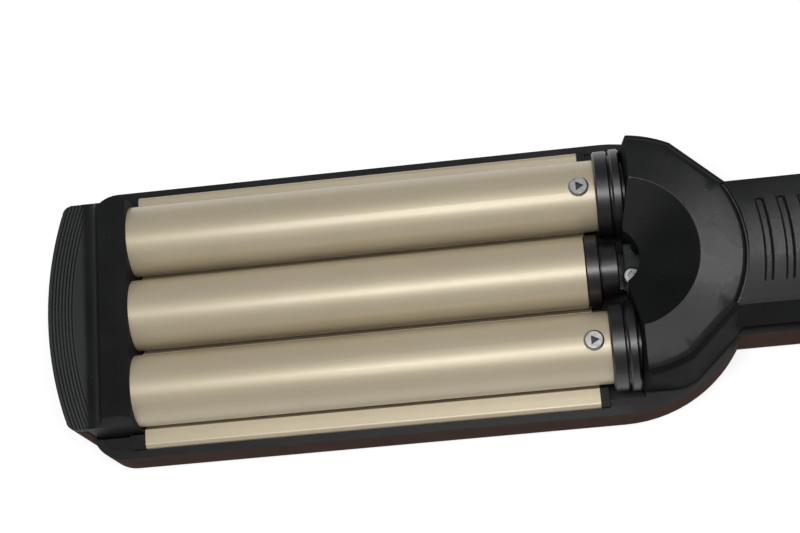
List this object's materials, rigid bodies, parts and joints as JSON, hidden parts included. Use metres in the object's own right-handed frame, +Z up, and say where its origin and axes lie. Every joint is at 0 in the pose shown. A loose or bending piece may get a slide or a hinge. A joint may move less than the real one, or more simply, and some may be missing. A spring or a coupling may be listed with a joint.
{
  "type": "hair waver",
  "caption": "Corded hair waver: round barrels on a hinged upper arm press hair into a matching wave plate in the lower jaw; push buttons, sliding lock and swivel collar.",
  "frame": {"origin": "middle of the whole object's footprint, on the surface that it lies on", "axes": "+X from the tip to the swivel collar, +Y to the far side, +Z up out of the barrels"},
  "size_m": [0.3472, 0.0786, 0.0422],
  "materials": {
    "black_plastic": "fine spark-eroded moulded black plastic",
    "tip_plastic": "moulded black plastic with a fine grain and thin arc ridges",
    "heatproof_plastic": "smooth heat-proof black plastic",
    "champagne_coat": "pearly champagne non-stick coating, satin",
    "cast_aluminium": "bare extruded aluminium",
    "heater_ceramic": "ceramic heater in film",
    "sheet_steel": "plated steel",
    "screw_steel": "zinc plated screws",
    "fuse_metal": "tinned metal can",
    "board_resin": "green circuit board",
    "lens_clear": "smoky clear display lens",
    "button_plastic": "satin dark grey plastic",
    "swivel_rubber": "firm black rubber"
  },
  "bodies": {
    "lower_arm": {"lower_shell": "black_plastic", "lower_cover": "black_plastic", "wave_plate": "champagne_coat", "plate_block_tip": "heatproof_plastic", "plate_block_head": "heatproof_plastic", "plate_heater": "heater_ceramic", "heater_clamp": "sheet_steel", "thermal_fuse": "fuse_metal", "base_screws": "screw_steel", "cover_screws": "screw_steel", "hinge_pin": "sheet_steel", "handle_spring": "sheet_steel"},
    "upper_arm": {"upper_shell": "black_plastic", "upper_liner": "black_plastic", "liner_screws": "screw_steel", "barrel_far": "champagne_coat", "barrel_middle": "champagne_coat", "barrel_near": "champagne_coat", "core_far": "cast_aluminium", "core_middle": "cast_aluminium", "core_near": "cast_aluminium", "heater_far": "heater_ceramic", "heater_middle": "heater_ceramic", "heater_near": "heater_ceramic", "collar_far": "heatproof_plastic", "collar_middle": "heatproof_plastic", "collar_near": "heatproof_plastic", "tip_block": "tip_plastic", "barrel_screws": "screw_steel", "barrel_bracket": "sheet_steel", "bracket_screw": "screw_steel", "control_board": "board_resin", "indicator_lens": "lens_clear"},
    "power_key": {"power_button": "button_plastic"},
    "warmer_key": {"warmer_button": "button_plastic"},
    "cooler_key": {"cooler_button": "button_plastic"},
    "lock": {"lock_slider": "button_plastic"},
    "swivel": {"swivel_collar": "swivel_rubber"}
  },
  "joints": [
    {"name": "arm_hinge", "type": "hinge", "parent": "lower_arm", "child": "upper_arm", "pos_m": [0.14365, 0, 0.02425], "axis": [0, 1, 0], "range_deg": [0, 20], "deforming": ["handle_spring"]},
    {"name": "power_press", "type": "slide", "parent": "upper_arm", "child": "power_key", "axis": [0, 0, -1], "range_m": [0, 0.0007], "stiffness_N_per_m": 600},
    {"name": "warmer_press", "type": "slide", "parent": "upper_arm", "child": "warmer_key", "axis": [0, 0, -1], "range_m": [0, 0.0007], "stiffness_N_per_m": 600},
    {"name": "cooler_press", "type": "slide", "parent": "upper_arm", "child": "cooler_key", "axis": [0, 0, -1], "range_m": [0, 0.0007], "stiffness_N_per_m": 600},
    {"name": "lock_slide", "type": "slide", "parent": "lower_arm", "child": "lock", "axis": [-1, 0, 0], "range_m": [0, 0.007]},
    {"name": "cord_swivel", "type": "hinge", "parent": "lower_arm", "child": "swivel", "pos_m": [0.16165, 0, 0.012], "axis": [1, 0, 0], "continuous": true}
  ]
}
